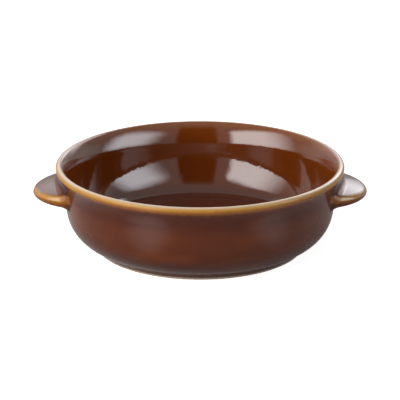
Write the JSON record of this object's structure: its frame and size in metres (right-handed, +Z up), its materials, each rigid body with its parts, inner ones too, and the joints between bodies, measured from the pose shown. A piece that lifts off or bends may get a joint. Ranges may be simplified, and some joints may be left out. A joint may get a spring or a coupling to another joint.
{
  "type": "handled baking dish",
  "caption": "Round glazed stoneware baking dish with a rounded belly, everted lip and low foot ring, carried by flat rounded lug handles on opposite sides.",
  "frame": {"origin": "on the table, under the middle of the dish", "axes": "+Z up along the axis of the round bowl, +X towards the right lug"},
  "size_m": [0.232, 0.2, 0.06],
  "materials": {
    "glaze": "glossy brown glaze, thin and amber on the edges",
    "foot_clay": "bare fired stoneware"
  },
  "bodies": {
    "root": {"bowl": "glaze", "foot_ring": "foot_clay", "left_lug": "glaze", "right_lug": "glaze"}
  },
  "joints": []
}
